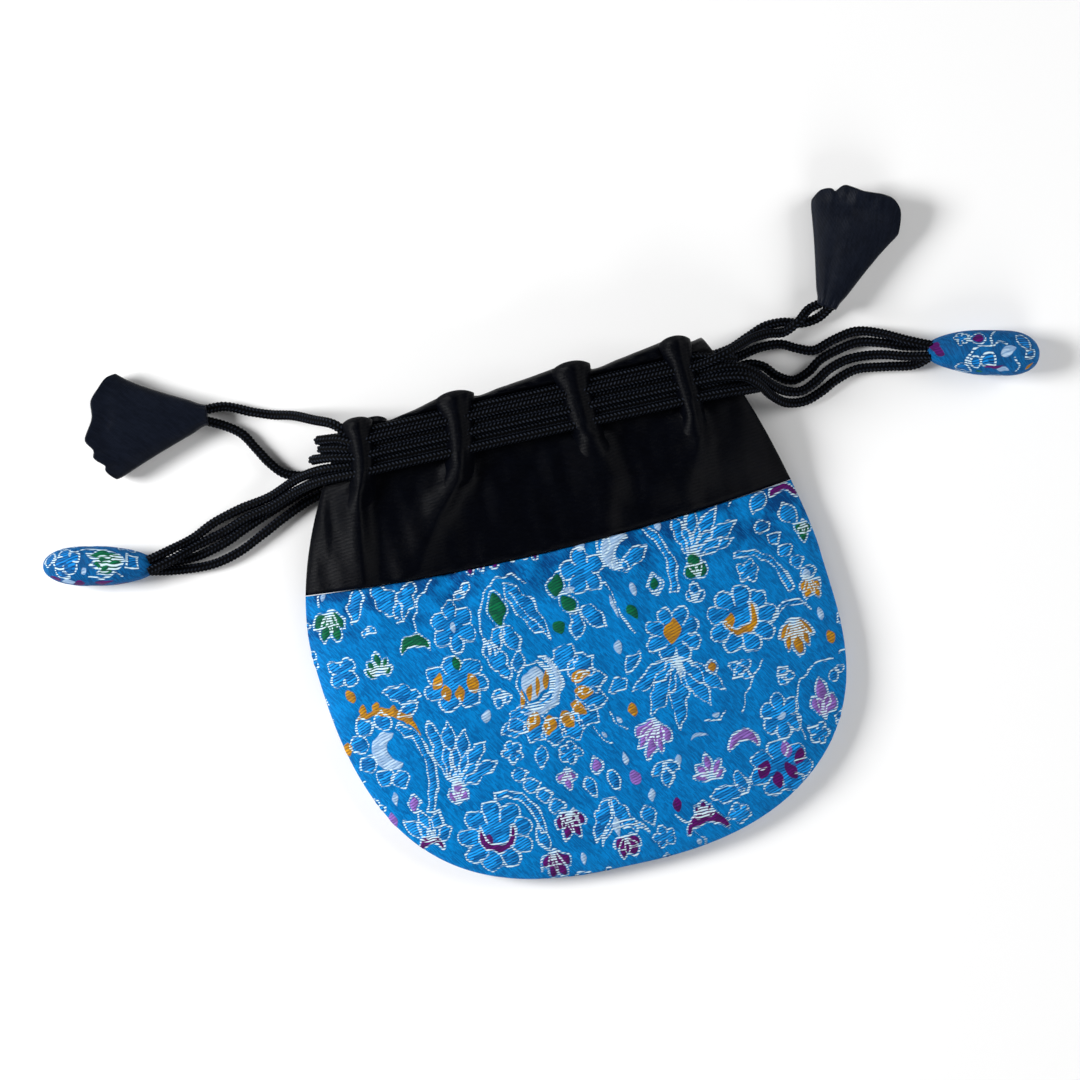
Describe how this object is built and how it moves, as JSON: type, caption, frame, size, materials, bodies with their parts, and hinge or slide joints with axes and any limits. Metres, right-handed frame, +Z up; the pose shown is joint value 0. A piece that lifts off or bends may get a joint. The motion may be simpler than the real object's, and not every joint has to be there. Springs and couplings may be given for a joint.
{
  "type": "drawstring pouch",
  "caption": "Flat round-bottomed brocade drawstring pouch with a gathered satin top, braided cords in satin carriers, and satin trumpet and brocade pod cord ends.",
  "frame": {"origin": "centre of the box around the bag without its cords, on the table it lies on", "axes": "+Z up out of the front face, +Y from the round bottom towards the mouth, X along the drawstring"},
  "size_m": [0.2256, 0.1401, 0.0162],
  "materials": {
    "brocade": "figured silk-like weave, blue ground with pale outlined flowers and gold, green and purple fills",
    "satin": "black satin, soft bluish sheen, fine diagonal twill lines",
    "braid": "black braided cord, low sheen"
  },
  "bodies": {
    "root": {"front_brocade_panel": "brocade", "back_brocade_panel": "brocade", "front_satin_band": "satin", "back_satin_band": "satin", "front_carrier_1": "satin", "front_carrier_2": "satin", "front_carrier_3": "satin", "front_carrier_4": "satin", "back_carrier_1": "satin", "back_carrier_2": "satin", "back_carrier_3": "satin", "back_carrier_4": "satin", "left_trumpet_cord": "braid", "left_pod_cord_1": "braid", "left_pod_cord_2": "braid", "right_trumpet_cord": "braid", "right_pod_cord_1": "braid", "right_pod_cord_2": "braid", "left_trumpet": "satin", "right_trumpet": "satin", "left_pod": "brocade", "right_pod": "brocade"}
  },
  "joints": []
}
